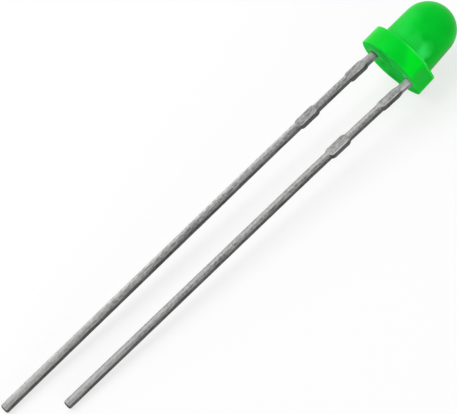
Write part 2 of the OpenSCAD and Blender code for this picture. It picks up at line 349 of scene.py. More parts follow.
def put_in_scene(name, data):
    """A new object that shows the data."""
    thing = bpy.data.objects.new(name, data)
    bpy.context.scene.collection.objects.link(thing)
    return thing


def new_piece(bm, name, node, crease=None):
    """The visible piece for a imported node. Edges over the crease angle stay sharp."""
    bmesh.ops.recalc_face_normals(bm, faces=bm.faces[:])
    for face in bm.faces:
        face.smooth = True
    if crease is not None:
        for edge in bm.edges:
            edge.smooth = edge.is_manifold and edge.calc_face_angle() < crease
    mesh = bpy.data.meshes.new(name)
    bm.to_mesh(mesh)
    bm.free()
    piece = put_in_scene(name, mesh)
    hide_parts(node)
    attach(piece, "root")
    print(f"{name}: {len(mesh.vertices)} points, {len(mesh.polygons)} faces")
    return piece


def lead_piece(name, node, lead):
    """A whole lead: the drawn part and the plates."""
    bm = bmesh.new()
    drawn_lead(bm, node, lead)
    keep_plates(bm, node)
    return new_piece(bm, name, node, CREASE)


anode = lead_piece("anode_lead_drawn", "anode_lead", ANODE)
cathode = lead_piece("cathode_lead_drawn", "cathode_lead", CATHODE)

# %% [markdown]
# ## The resin body as it was cast
# The lens, the flange and the flat are one casting. The mould gives them their
# shape, and the back of the flange is the resin's free surface. It isn't flat:
# it is dished a little, it is uneven, and it creeps down each lead. The body
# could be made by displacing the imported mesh, but its back has too few points.
# So one outline is turned round the axis, the flat is cut by holding x back, and
# the back gets close rings of its own.

# %% Sizes of the body, in millimetres
BODY_TOP, FLANGE_TOP = 4.065, 1.05
FOOT_R, DRAFT, FILLET = 1.508, math.radians(2.5), 0.05
RIM_TOP_R, TOP_EDGE = 1.905, 0.025      # the flange's rim and its rounded edge, at the top
RIM_LOW_R, LOW_EDGE = 1.922, 0.045      # and at the back
FLAT_X = 1.75
FLANGE_SHIFT = -0.015                   # how far the flange sits off the axis
LENS_SHIFT, LENS_LEAN = 0.018, 0.011    # the lens: at its foot, and back per mm of height

wall_height = BODY_TOP - FLANGE_TOP
DOME_R = (FOOT_R - wall_height * math.tan(DRAFT)) / (1 / math.cos(DRAFT) - math.tan(DRAFT))
print(f"the dome's radius is {DOME_R:.3f} mm: it runs into the wall without a crease")


# %% Arcs and straight lines of the outline
def arc(middle_r, middle_z, radius, start, end, steps):
    """Points of an arc in the outline, in degrees, without its first point."""
    turns = [math.radians(start + (end - start) * step / steps) for step in range(1, steps + 1)]
    return [(middle_r + radius * math.cos(turn), middle_z + radius * math.sin(turn))
            for turn in turns]


def straight(start, end, steps):
    """Points of a straight line in the outline, without its first point."""
    return [tuple(a + (b - a) * step / steps for a, b in zip(start, end))
            for step in range(1, steps + 1)]


# %% The outline of the body
STEPS = dict(dome=44, wall=14, fillet=5, ledge=6, top_edge=5, rim=10, low_edge=6, back=62)
BACK_MIDDLE_R = 0.03        # the back's last ring, which one point in the middle closes


def outline():
    """Radius and height, from the pole of the dome round to the middle of the back."""
    line = arc(0, BODY_TOP - DOME_R, DOME_R, 90, math.degrees(DRAFT), STEPS["dome"])
    foot = (FOOT_R - FILLET * math.tan(DRAFT), FLANGE_TOP + FILLET)
    line += straight(line[-1], foot, STEPS["wall"])
    line += arc(foot[0] + FILLET, foot[1], FILLET, 180, 270, STEPS["fillet"])
    line += straight(line[-1], (RIM_TOP_R - TOP_EDGE, FLANGE_TOP), STEPS["ledge"])
    line += arc(RIM_TOP_R - TOP_EDGE, FLANGE_TOP - TOP_EDGE, TOP_EDGE, 90, 0, STEPS["top_edge"])
    line += straight(line[-1], (RIM_LOW_R, LOW_EDGE), STEPS["rim"])
    line += arc(RIM_LOW_R - LOW_EDGE, LOW_EDGE, LOW_EDGE, 0, -90, STEPS["low_edge"])
    back_start = len(line) - 1
    line += straight(line[-1], (BACK_MIDDLE_R, 0), STEPS["back"])
    return line, back_start


print(len(outline()[0]), "points in the outline")

# %% [markdown]
# ### The free surface at the back
# The resin is poured in at the back and shrinks as it sets. Its rim is a few
# hundredths of a millimetre out of true, the middle is dished, and each lead
# wears a low collar where the resin wetted it. A sculpting brush could do this,
# but it can't be repeated. Here each point is moved by a sum of small terms.

# %% How the resin creeps down a lead
CREEP, CREEP_WIDTH = 0.012, 0.05


def creep(x, y):
    """How far the resin runs down the nearer lead at a point of the back."""
    run = 0
    for side, lead in ((-1, ANODE), (1, CATHODE)):
        half = lead["half"]
        beside = abs(x - side * half_pitch - lead["bends"][0][1]) / half
        above = abs(y - BACK_FACE + FLATNESS * half) / (FLATNESS * half)
        reach = (beside ** PLAIN_EXPONENT + above ** PLAIN_EXPONENT) ** (1 / PLAIN_EXPONENT)
        outside = max(reach - 1, 0) * half
        run = max(run, CREEP * math.exp(-outside / CREEP_WIDTH))
    return run


print(f"creep at a lead {creep(half_pitch, 0):.3f} mm, in the middle {creep(0, 0):.6f} mm")

# %% Where the resin set
# A direction across the seat, to the flat's side and down to the table, as shares
# of x and y. It is square to the camera's line of sight, so it says how far to
# one side a point is seen.
SLANT_X, SLANT_Y = 0.82, 0.57
# The rim's upper half: its height, and how much it bends down to both sides.
UPPER_RIM, UPPER_BEND = 0.045, 0.03
# Its lower half: its height, and where and how fast it rises to each side.
LOWER_RIM = -0.057
RISE_FROM, RISE = -0.2, 0.047
FAR_RISE_FROM, FAR_RISE = -1.3, 0.05
# The flange's top: its height, its slope, and more slope on the flat's side.
TOP_RISE, TOP_SLOPE, FLAT_SLOPE = 0.005, 0.015, 0.01
# The dish: its depth, its slope to the flat's side, and its unevenness.
DISH, DISH_SLOPE, UNEVEN = 0.115, 0.067, 0.012
WAVES = (1.6, 2.6)          # waves per millimetre, about, along x and y


def rim_height(x, y):
    """How far the back's rim stands out of true: the lower half blends into the upper."""
    along, up = SLANT_X * x + SLANT_Y * y, SLANT_Y * x - SLANT_X * y
    lower = (LOWER_RIM + RISE * max(along - RISE_FROM, 0)
             + FAR_RISE * max(-along + FAR_RISE_FROM, 0))
    upper = UPPER_RIM - UPPER_BEND * along ** 2
    return lower + (upper - lower) * min(max(0.5 + up, 0), 1)


print(f"the rim stands {rim_height(0, -RIM_LOW_R):.3f} mm out on one side",
      f"and {rim_height(0, RIM_LOW_R):.3f} mm on the other")


# %% Move a point to where the resin set
def settled(x, y, z, on_back):
    """A point of the outline, moved to where the resin set."""
    share = min(max(z / FLANGE_TOP, 0), 1)
    top = TOP_RISE + TOP_SLOPE * x + FLAT_SLOPE * max(x, 0)
    z += (1 - share) * rim_height(x, y) + share * top
    if on_back:
        from_rim = max(1 - (math.hypot(x, y) / (RIM_LOW_R - LOW_EDGE)) ** 4, 0)
        wave = ripple(Vector((WAVES[0] * x, WAVES[1] * y, 0.4)))
        z += from_rim * (DISH - DISH_SLOPE * x - UNEVEN * wave) - creep(x, y)
    return x, y, z


print(f"the middle of the back is dished by {settled(0, 0, 0, True)[2]:.3f} mm")

# %% [markdown]
# ### Turning the outline
# A Screw modifier would turn the outline, but the flat needs points that lie
# exactly on its two corners, and every ring has to have them. So the angles are
# worked out: steps from corner to corner of the flat, and even ones round the rest.
# The flange and the lens were moulded a hair off the axis, each in its
# own direction, as mould halves leave them.

# %% Angles and offsets
FLAT_STEPS, ROUND_STEPS = 14, 200       # points on half the flat, and on the rest
HAIR = 0.001                            # the flange's top counts as flange


def turns_round():
    """The points' angles round the axis: close together on the flat."""
    corner = math.acos((FLAT_X - FLANGE_SHIFT) / RIM_TOP_R)
    rest = 2 * math.pi - 2 * corner
    return ([corner * step / FLAT_STEPS for step in range(-FLAT_STEPS, FLAT_STEPS)]
            + [corner + rest * step / ROUND_STEPS for step in range(ROUND_STEPS)])


def off_axis(x, height):
    """Moves a point sideways with the flange or the lens, and holds it at the flat."""
    if height < FLANGE_TOP + HAIR:
        return min(x + FLANGE_SHIFT, FLAT_X)
    return x + LENS_SHIFT - LENS_LEAN * (height - FLANGE_TOP)


print(f"{len(turns_round())} points in a ring")


# %% Turn the body
def turned_body():
    """The outline, turned round the axis and closed at the pole and the back's middle."""
    line, back_start = outline()
    turns = turns_round()
    bm = bmesh.new()
    rings = []
    for k, (radius, height) in enumerate(line):
        ring = []
        for turn in turns:
            x, y = off_axis(radius * math.cos(turn), height), radius * math.sin(turn)
            ring.append(bm.verts.new(in_world(settled(x, y, height, k > back_start))))
        rings.append(ring)
    count = len(turns)
    for above, below in zip(rings, rings[1:]):
        for i in range(count):
            j = (i + 1) % count
            bm.faces.new((above[i], below[i], below[j], above[j]))
    pole = bm.verts.new(in_world(settled(off_axis(0, BODY_TOP), 0, BODY_TOP, False)))
    middle = bm.verts.new(in_world(settled(0, 0, 0, True)))
    for i in range(count):
        j = (i + 1) % count
        bm.faces.new((pole, rings[0][i], rings[0][j]))
        bm.faces.new((middle, rings[-1][j], rings[-1][i]))
    return bm


body = new_piece(turned_body(), "resin_body_cast", "epoxy_lens")

# %% [markdown]
# ## A small kit for node materials
# Each finish is a tree of nodes. It could start from unwrapped texture
# coordinates, but then a pattern's size would depend on the unwrapping. Here it
# starts from the lamp's own millimetres: a Mapping node turns world metres into
# them, and every pattern and every mask reads that.

# %% Nodes and sockets
def feed(tree, value, socket):
    """Links a socket's output or sets a plain value."""
    if isinstance(value, bpy.types.NodeSocket):
        tree.links.new(value, socket)
    else:
        socket.default_value = value


def fill(tree, node, **settings):
    """Gives a node its settings. One that the node doesn't have itself is an input."""
    for name, value in settings.items():
        if hasattr(node, name):
            setattr(node, name, value)
        else:
            feed(tree, value, node.inputs[name.replace("_", " ")])
    return node


def add(tree, kind, **settings):
    """A new node, with its settings."""
    return fill(tree, tree.nodes.new("ShaderNode" + kind), **settings)


def bare_tree(owner):
    """The node tree of a material or a world, emptied."""
    owner.use_nodes = True
    owner.node_tree.nodes.clear()
    return owner.node_tree


def new_finish(name):
    """A node material with only a Principled shader, its tree and that shader."""
    material = bpy.data.materials.new(name)
    tree = bare_tree(material)
    shader = add(tree, "BsdfPrincipled")
    output = add(tree, "OutputMaterial")
    tree.links.new(shader.outputs["BSDF"], output.inputs["Surface"])
    return material, tree, shader


def dress(piece, material):
    """Gives a piece its finish."""
    piece.data.materials.clear()
    piece.data.materials.append(material)
    print(f"{piece.name}: {material.name}, {len(material.node_tree.nodes)} nodes")


# %% Arithmetic
def sums(tree, operation, first, second=0):
    """One step of arithmetic."""
    node = add(tree, "Math", operation=operation)
    feed(tree, first, node.inputs[0])
    feed(tree, second, node.inputs[1])
    return node.outputs[0]


def plus(tree, first, second):
    return sums(tree, "ADD", first, second)


def times(tree, first, second):
    return sums(tree, "MULTIPLY", first, second)


def larger(tree, first, second):
    return sums(tree, "MAXIMUM", first, second)


def away_from(tree, first, second):
    """The distance from a line, from the two coordinates square to it."""
    squares = plus(tree, times(tree, first, first), times(tree, second, second))
    return sums(tree, "SQRT", squares)


# %% Ramps, bands and mixes
def ramp(tree, value, low, high, bottom=0.0, top=1.0):
    """Takes low..high to bottom..top, and holds beyond."""
    return add(tree, "MapRange", interpolation_type="SMOOTHSTEP", Value=value, From_Min=low,
               From_Max=high, To_Min=bottom, To_Max=top).outputs["Result"]


def band(tree, value, low, high, soft):
    """1 between low and high, and 0 beyond, over a soft edge."""
    return times(tree, ramp(tree, value, low - soft, low + soft),
                 ramp(tree, value, high - soft, high + soft, 1, 0))


def mix(tree, share, first, second):
    """A colour between first and second."""
    node = add(tree, "Mix", data_type="RGBA")
    feed(tree, share, node.inputs[0])
    feed(tree, first, node.inputs[6])
    feed(tree, second, node.inputs[7])
    return node.outputs[2]


# %% Places, directions and patterns
def lamp_millimetres(tree):
    """Coordinates in the lamp's axes, in millimetres, from the middle of its seat."""
    coordinates = add(tree, "TexCoord")
    shift = to_lamp @ seat / -MM
    mapping = add(tree, "Mapping", vector_type="POINT", Location=shift,
                  Rotation=to_lamp.to_euler(), Scale=(1 / MM,) * 3)
    tree.links.new(coordinates.outputs["Object"], mapping.inputs["Vector"])
    return mapping.outputs["Vector"]


def split(tree, vector):
    """The x, y and z of a vector."""
    return tuple(add(tree, "SeparateXYZ", Vector=vector).outputs)


def stretched(tree, place, scale):
    """The same coordinates, with another scale on each axis."""
    return add(tree, "Mapping", Vector=place, Scale=scale).outputs["Vector"]


def noise(tree, place, scale, detail=3.0, roughness=0.5):
    return add(tree, "TexNoise", Vector=place, Scale=scale, Detail=detail,
               Roughness=roughness).outputs["Fac"]


def bump(tree, height, distance, strength=1.0):
    return add(tree, "Bump", Height=height, Distance=distance * MM,
               Strength=strength).outputs["Normal"]


def facing(tree, way):
    """1 where the surface faces a direction, 0 square to it, -1 where it faces away."""
    dot = add(tree, "VectorMath", operation="DOT_PRODUCT")
    tree.links.new(add(tree, "NewGeometry").outputs["Normal"], dot.inputs[0])
    dot.inputs[1].default_value = way
    return dot.outputs["Value"]


# %% [markdown]
# ## Diffused green resin
# The casting is epoxy with green dye and a fine white filler. Light goes in a
# little way and comes back out, which softens the shading. A clear shader with a
# scattering volume inside would be the true way, but it is slow and grainy at
# this size. Subsurface scattering gives the same softness from the skin.
#
# The plates inside throw light back through the wall where they stand close to
# it. The skin can't show that by itself, so it is painted: a mask says where the
# resin is brighter, by height and by how far to one side a point is seen from the
# camera's place. It is fixed to the lamp and doesn't follow the camera. Its limits
# were matched, and aren't worked out from the plates. A noise shifts both
# measures a little, or the patch would have ruled edges.

# %% Where the plates glow through the wall
NOISE_MIDDLE = (0.3, 0.7)           # most of a noise's values lie between these
WOBBLE_SIZE = 1.1
WOBBLE_UP, WOBBLE_ASIDE = 0.14, 0.1
PLATES_TOP = (1.6, 2.15)            # the glow fades out over these heights
BETWEEN_POSTS = (-1.3, 0.82, 0.12)  # from, to and softness, to the flat's side
AT_ANVIL = (0.38, 0.9, 0.14)
AT_POST = (-1.2, -0.75, 0.25)
TO_FLAT = (-1.0, 0.3)               # between the posts it grows to the flat's side
ANVIL_FADE, POST_FADE = (1.2, 1.95), (1.9, 3.4)     # heights
ABOVE_FLANGE = (1.02, 1.2)


def aside_of(tree, x, y):
    """How far a point stands to the flat's side, alike on the front and the back."""
    return sums(tree, "SUBTRACT", times(tree, x, SLANT_X),
                times(tree, sums(tree, "ABSOLUTE", y), SLANT_Y))


def frame_glow(tree, place):
    """Where the plates of the lead frame throw light back through the wall."""
    x, y, z = split(tree, place)
    wobble = noise(tree, place, WOBBLE_SIZE, 2.0)
    z = plus(tree, z, ramp(tree, wobble, *NOISE_MIDDLE, -WOBBLE_UP, WOBBLE_UP))
    aside = plus(tree, aside_of(tree, x, y),
                 ramp(tree, wobble, *NOISE_MIDDLE, WOBBLE_ASIDE, -WOBBLE_ASIDE))
    low = ramp(tree, z, *PLATES_TOP, 1, 0)
    between = times(tree, band(tree, aside, *BETWEEN_POSTS),
                    ramp(tree, aside, *TO_FLAT, 0.12, 0.32))
    anvil = times(tree, band(tree, aside, *AT_ANVIL), ramp(tree, z, *ANVIL_FADE, 0.55, 0.06))
    post = times(tree, band(tree, aside, *AT_POST), ramp(tree, z, *POST_FADE, 0.14, 0))
    plates = times(tree, low, plus(tree, between, anvil))
    return times(tree, plus(tree, plates, post), ramp(tree, z, *ABOVE_FLANGE))


# %% [markdown]
# ### Painted light on the flange
# The flange takes in light at its edges and gives it off again, brightest where
# it ends at the flat: that is painted light. Its top edge gets a thin painted highlight, and
# round each lead, where the resin wetted it, it is thin and pale, with a painted highlight
# on it too. Paint by hand would need an image, and these three need only a height and a
# distance, so they are masks.

# %% Painted light where the flange is lit
SLANTED, PER_HEIGHT = (0.25, 0.8), 0.6  # the bright part starts on a slanting line
FLAT_CORNER = (0.86, 1.14)          # and ends where the flat begins
FLANGE_EDGE = (0.97, 1.08, 0.03)    # heights: from, to and softness
EDGE_TO_FLAT = (-0.6, 0.4)
FLANGE_END = (1.04, 1.1)


def flange_glow(tree, place):
    """Painted light: the flange lit through its edges, most of all beside the flat, and along
    its top edge.
    """
    x, y, z = split(tree, place)
    aside = aside_of(tree, x, y)
    slanting = plus(tree, aside, times(tree, z, PER_HEIGHT))
    beside_flat = times(tree, ramp(tree, slanting, *SLANTED, 0.2, 0.95),
                        ramp(tree, aside, *FLAT_CORNER, 1, 0))
    edge = times(tree, band(tree, z, *FLANGE_EDGE),
                 ramp(tree, aside, *EDGE_TO_FLAT, 0.2, 1.0))
    return times(tree, larger(tree, beside_flat, edge), ramp(tree, z, *FLANGE_END, 1, 0))


# %% The painted highlight on the top edge, and the resin round the leads
# Where the painted highlight lies on the flange's top edge.
RIM_HIGHLIGHT_HEIGHT, RIM_HIGHLIGHT_RADIUS = (0.99, 1.03), (1.8, 1.87)
RIM_HIGHLIGHT_TO_FLAT, RIM_HIGHLIGHT_END = (-0.6, 0.1), (1.0, 1.2)
COLLAR = (0.3, 0.6)                 # distances from a lead's middle


def rim_highlight(tree, place):
    """1 on the flange's top edge, where a pale highlight is painted."""
    x, y, z = split(tree, place)
    aside = aside_of(tree, x, y)
    highlight_reach = times(tree, ramp(tree, aside, *RIM_HIGHLIGHT_TO_FLAT, 0.1, 0.9),
                   ramp(tree, aside, *RIM_HIGHLIGHT_END, 1, 0.3))
    on_edge = times(tree, ramp(tree, z, *RIM_HIGHLIGHT_HEIGHT),
                    ramp(tree, away_from(tree, x, y), *RIM_HIGHLIGHT_RADIUS))
    return times(tree, on_edge, highlight_reach)


def thin_collar_highlight(tree, place):
    """1 on the resin that runs down the leads, and 0 a little way off. There the resin is thin
    and pale, and a highlight is painted.
    """
    x, y, z = split(tree, place)
    from_lead = sums(tree, "SUBTRACT", sums(tree, "ABSOLUTE", x), half_pitch)
    return ramp(tree, away_from(tree, from_lead, y), *COLLAR, 1, 0)


# %% [markdown]
# ### The back, and the skin
# The back set in the open, so it is dull, and its tone runs in pale and dark
# puddles. The mould was polished, so the skin it left is satin, with a fine
# grain. Two materials on two sets of faces would part them with a hard line. One
# material with a mask by direction runs softly from skin to back round the edge.
# Values that are the same everywhere are set on the shader's own sockets.

# %% Resin colours
BULK = ((0.0015, 0.6, 0.028, 1), (0.003, 0.66, 0.035, 1))
PUDDLES = ((0.005, 0.53, 0.042, 1), (0.02, 0.82, 0.072, 1))
PLATE_LIGHT = (0.05, 0.97, 0.17, 1)
EDGE_LIGHT = (0.001, 0.98, 0.026, 1)
# a painted highlight on the flange's top edge
RIM_HIGHLIGHT_GREEN = (0.06, 0.99, 0.13, 1)
# thin resin round the leads, with a painted highlight
COLLAR_THIN_AND_HIGHLIT = (0.12, 0.8, 0.2, 1)
PAINTED_SHADE_GREEN = (0.001, 0.25, 0.03, 1)     # painted shade where the wall turns down to the table
CLOUDS, CLOUD_SCALE = (0.35, 0.65), 0.9
DOWN_FROM = (0.88, 1.0)                 # how squarely the wall faces down the slant
POOLS, POOL_SCALE = (0.25, 0.9), (1.3, 2.2, 1)
ANODE_SIDE = (-1.6, -0.6)               # the back is paler on this side
BACK_FROM = (0.35, 0.75)                # how squarely the back faces down the leads
BACK_ROUGHNESS, SKIN_ROUGHNESS = 0.95, (0.3, 0.36)
SKIN_GRAIN, SKIN_DEPTH = 14.0, 0.002    # grains per millimetre, about, and their depth
SKIN = dict(Subsurface_Weight=0.6, Subsurface_Scale=0.5 * MM,
            Subsurface_Radius=(0.4, 1.0, 0.5), IOR=1.5,
            Specular_IOR_Level=0.07, Specular_Tint=(0.1, 1.0, 0.35, 1))


# %% Resin finish
def moulded_colour(tree, place):
    """Colour of the lens and the flange's rim, with painted light and shade."""
    cloud = noise(tree, place, CLOUD_SCALE, 4.0)
    bulk = mix(tree, ramp(tree, cloud, *CLOUDS), *BULK)
    behind = mix(tree, frame_glow(tree, place), bulk, PLATE_LIGHT)
    lit = mix(tree, flange_glow(tree, place), behind, EDGE_LIGHT)
    # Painted highlight on the flange's top edge.
    lit = mix(tree, rim_highlight(tree, place), lit, RIM_HIGHLIGHT_GREEN)
    # Painted shade where the wall faces down the slant, towards the table.
    downward = facing(tree, across * SLANT_X + front_to_back * SLANT_Y)
    return mix(tree, ramp(tree, downward, *DOWN_FROM, 0, 0.6), lit, PAINTED_SHADE_GREEN)


def poured_colour(tree, place):
    """Colour of the back."""
    anode_side = ramp(tree, split(tree, place)[0], *ANODE_SIDE, 0.3, 0)
    pool = plus(tree, noise(tree, stretched(tree, place, POOL_SCALE), 1.3, 3.0), anode_side)
    puddles = mix(tree, ramp(tree, pool, *POOLS), *PUDDLES)
    # Paler round each lead: thin resin there, and a painted highlight.
    return mix(tree, times(tree, thin_collar_highlight(tree, place), 0.6), puddles, COLLAR_THIN_AND_HIGHLIT)


def resin_finish():
    """Satin, diffused resin with a dull back."""
    material, tree, shader = new_finish("green_resin_diffused")
    place = lamp_millimetres(tree)
    back = ramp(tree, facing(tree, -lens_way), *BACK_FROM)
    colour = mix(tree, back, moulded_colour(tree, place), poured_colour(tree, place))
    grain = noise(tree, place, SKIN_GRAIN, 3.0)
    satin = ramp(tree, grain, 0.2, 0.8, *SKIN_ROUGHNESS)
    dull = times(tree, back, BACK_ROUGHNESS)
    fill(tree, shader, Base_Color=colour, Roughness=larger(tree, satin, dull),
         Normal=bump(tree, grain, SKIN_DEPTH), **SKIN)
    return material


dress(body, resin_finish())

# %% [markdown]
# ## Matte tin on stamped steel
# Each lead is punched from steel strip and then tin plated. The rolled faces are
# even and matte, with a grain drawn out along the lead. The punched face on the
# flat's side is scored across by the punch, and darker: dull sheared metal, and
# painted shade, as it is turned from the light. A highlight is painted along an
# edge on the other side and on the sheared corners, and the stubs and the tip show
# where metal was sheared last. One metal with one noise would make all faces alike.
# So each kind of face gets its own tone, and masks by direction and depth say which
# kind a point is on. Each lead has its own highlights and wear.

# %% Painted highlights and wear on each lead
# turn: how far round the section the painted edge highlight lies. shine: how bright
# that is. at_stubs: how strongly it shows there. corner_shine: how bright the painted
# highlight on the sheared corners is. dip, dip_tin: how much of the neck has bright tin, and its
# colour.
ANODE_SHEEN_AND_WEAR = dict(turn=0, shine=0.55, at_stubs=0.55, corner_shine=0.4,
                  dip=0.6, dip_tin=(0.37, 0.32, 0.37, 1))
CATHODE_SHEEN_AND_WEAR = dict(turn=0.3, shine=0.36, at_stubs=1.1, corner_shine=0.9,
                    dip=0.75, dip_tin=(0.5, 0.46, 0.5, 1))

# Colours of the faces. A pair runs from dark to light.
ROLLED = ((0.1, 0.1, 0.1, 1), (0.31, 0.31, 0.305, 1))
ROLLED_AT_TIP = (0.42, 0.42, 0.415, 1)
# the punched face: dull sheared metal, darkened further as painted shade
PUNCHED_AND_SHADED = ((0.035, 0.035, 0.035, 1), (0.13, 0.13, 0.13, 1))
SHEARED = ((0.14, 0.14, 0.14, 1), (0.26, 0.26, 0.255, 1))
# painted shade on the rounded edge of the tip
SHADED_TIP_EDGE = (0.02, 0.02, 0.02, 1)
# painted highlight on the sheared corners
CORNER_HIGHLIGHT = (0.55, 0.55, 0.545, 1)
# painted light on the tin just below the resin, against the shade there
LIFTED_TIN_BELOW_RESIN = (0.5, 0.44, 0.5, 1)
# painted shadow where the lead leaves the resin
EXIT_SHADOW = (0.03, 0.035, 0.03, 1)


# %% [markdown]
# ### Masks on the leads
# Heights are counted from the seat, so below it they are minus the depth. How a
# face lies is told by its direction: 1 is square to the side, 0 is a rolled face.

# %% Masks along and round a lead
STUB_ZONES = ((-1.75, -0.75), (-5.2, -4.05))
BELOW_STUBS = (-3.5, -6)                # the painted edge highlight gets its full strength here
ZONE_SOFT = 0.12
PUNCHED_FROM = (0.66, 0.92)             # how squarely the punched face, painted darker, looks to the flat's side
NARROWER, NARROW_FROM, NARROW_TO = 0.06, -14, -25
EDGE_FROM = (0.08, -0.3)                # the painted edge highlight, before its turn
TIP_WITHOUT_HIGHLIGHT = (0.4, 0.48)                  # the painted edge highlight leaves out this much of the tip


def stub_mask(tree, z):
    """1 on both stubs."""
    upper, lower = [band(tree, z, *zone, ZONE_SOFT) for zone in STUB_ZONES]
    return larger(tree, upper, lower)


def punched_and_shaded_mask(tree, z, side):
    """1 on the punched face on the flat's side, painted darker, and a little narrower towards
    the tip.
    """
    narrower = ramp(tree, z, NARROW_FROM, NARROW_TO, 0, NARROWER)
    return ramp(tree, sums(tree, "SUBTRACT", side, narrower), *PUNCHED_FROM)


def edge_highlight_mask(tree, z, side, stubs, sheen_and_wear, tip):
    """1 on the edge where a highlight is painted, and less at the stubs and the tip."""
    edge = ramp(tree, side, *[start + sheen_and_wear["turn"] for start in EDGE_FROM])
    along = times(tree, ramp(tree, stubs, 0, 1, 1, 0.25),
                  ramp(tree, z, *BELOW_STUBS, sheen_and_wear["at_stubs"], 1))
    off_tip = ramp(tree, z, *[tip + end for end in TIP_WITHOUT_HIGHLIGHT], 0.5, 1)
    return times(tree, times(tree, edge, along), off_tip)


# %% [markdown]
# ### Tones on the leads
# Plating leaves a grain, rolling draws lines along the strip, and the punch draws
# scores through it. All three are noises, stretched so that they run the right
# way: a wave texture would run too evenly for metal.

# %% Patterns and plain faces
GRAIN, DRAWN, SCORES = (9, 9, 5), (11, 11, 0.9), (3, 1.5, 14)   # marks per mm, about
GRAIN_MIDDLE, DRAWN_MIDDLE = (0.38, 0.62), (0.35, 0.65)
PALER = (-14, -24)                  # the rolled faces get paler over these heights


def strip_patterns(tree, place):
    """Grain of the plating, lines drawn along the lead, and scores of the punch."""
    grain = noise(tree, stretched(tree, place, GRAIN), 1.0, 3.0, 0.6)
    drawn = noise(tree, stretched(tree, place, DRAWN), 1.0, 2.0, 0.5)
    scores = noise(tree, stretched(tree, place, SCORES), 1.0, 3.0, 0.6)
    return grain, drawn, scores


def rolled_face(tree, z, grain, drawn):
    """The even, matte faces, which are paler towards the tip."""
    tone = plus(tree, ramp(tree, grain, *GRAIN_MIDDLE, 0, 0.6),
                ramp(tree, drawn, *DRAWN_MIDDLE, 0, 0.4))
    return mix(tree, ramp(tree, z, *PALER, 0, 0.4), mix(tree, tone, *ROLLED), ROLLED_AT_TIP)


# %% Sheared ends, burrs and the neck
NECK_ZONE, NECK_SOFT = (-0.6, -0.12), 0.1
CORNER_HIGHLIGHT_SIDE = (0.3, 0.86, 0.1)
LIFTED_BELOW_RESIN = (-0.35, -0.05)                # painted light lifts the tin over these heights, out of the shade under the resin
END_EDGE, END_FACE = (0.2, 0.5), (0.9, 0.99)    # how squarely they face down the lead
EXIT_SHADOW_ZONE = (0.0, 0.2, 0.03)            # a painted shadow, a dark line where the lead leaves the resin


def sheared_end(tree, tin, scored):
    """The tin so far, with the cut end: a scored face in an edge that painted shade darkens."""
    end = facing(tree, -lens_way)
    # Painted shade on the rounded edge of the cut end.
    tin = mix(tree, ramp(tree, end, *END_EDGE), tin, SHADED_TIP_EDGE)
    return mix(tree, ramp(tree, end, *END_FACE), tin, mix(tree, scored, *SHEARED))


def corners_and_neck(tree, tin, z, side, stubs, grain, drawn, sheen_and_wear):
    """The tin so far, with painted highlights on the sheared corners, the dipped neck, painted
    light just below the resin and a painted shadow where the lead leaves it.
    """
    neck = band(tree, z, *NECK_ZONE, NECK_SOFT)
    # Painted highlight on the sheared corners, at the stubs and the neck.
    corner_shine = times(tree, band(tree, side, *CORNER_HIGHLIGHT_SIDE), larger(tree, stubs, neck))
    tin = mix(tree, times(tree, corner_shine, ramp(tree, drawn, 0.35, 0.55, 0.1, sheen_and_wear["corner_shine"])),
              tin, CORNER_HIGHLIGHT)
    tin = mix(tree, times(tree, neck, ramp(tree, drawn, 0.4, 0.6, 0.2, sheen_and_wear["dip"])),
              tin, sheen_and_wear["dip_tin"])
    # Painted light that lifts the tin just below the resin out of its shade.
    at_resin = times(tree, ramp(tree, z, *LIFTED_BELOW_RESIN, 0, 0.75),
                     ramp(tree, grain, 0.4, 0.6, 0.6, 1))
    tin = mix(tree, at_resin, tin, LIFTED_TIN_BELOW_RESIN)
    # Painted shadow where the lead leaves the resin.
    return mix(tree, times(tree, band(tree, z, *EXIT_SHADOW_ZONE), 0.7), tin, EXIT_SHADOW)


# %% Tin finish
METAL = 0.6             # plating with a dull skin of oxide is less than full metal
TIN_ROUGHNESS, TIN_DEPTH = (0.45, 0.62), 0.008      # the depth of grain and scores


def tin_finish(name, sheen_and_wear, tip):
    """Tin plate, with the painted highlights, painted shade and wear that its table gives, on a
    lead that ends at the height tip.
    """
    material, tree, shader = new_finish(name)
    place = lamp_millimetres(tree)
    z = split(tree, place)[2]
    side = facing(tree, across)
    grain, drawn, scores = strip_patterns(tree, place)
    stubs = stub_mask(tree, z)
    # Painted highlight along one edge of the lead.
    edge_highlight = times(tree, edge_highlight_mask(tree, z, side, stubs, sheen_and_wear, tip),
                     ramp(tree, grain, 0.4, 0.6, 0.4, 0.95))
    bright = (sheen_and_wear["shine"], sheen_and_wear["shine"], 0.99 * sheen_and_wear["shine"], 1)
    tin = mix(tree, edge_highlight, rolled_face(tree, z, grain, drawn), bright)
    scored = plus(tree, ramp(tree, drawn, *DRAWN_MIDDLE, 0, 0.65),
                  ramp(tree, scores, *GRAIN_MIDDLE, 0, 0.35))
    # The punched face on the flat's side, darkened as painted shade.
    tin = mix(tree, punched_and_shaded_mask(tree, z, side), tin, mix(tree, scored, *PUNCHED_AND_SHADED))
    tin = sheared_end(tree, tin, scored)
    tin = corners_and_neck(tree, tin, z, side, stubs, grain, drawn, sheen_and_wear)
    fill(tree, shader, Base_Color=tin, Roughness=ramp(tree, grain, 0.2, 0.8, *TIN_ROUGHNESS),
         Normal=bump(tree, plus(tree, grain, scores), TIN_DEPTH, 0.7), Metallic=METAL)
    return material


dress(anode, tin_finish("tin_plate_anode", ANODE_SHEEN_AND_WEAR, tip_of("anode_lead").z))
dress(cathode, tin_finish("tin_plate_cathode", CATHODE_SHEEN_AND_WEAR, tip_of("cathode_lead").z))

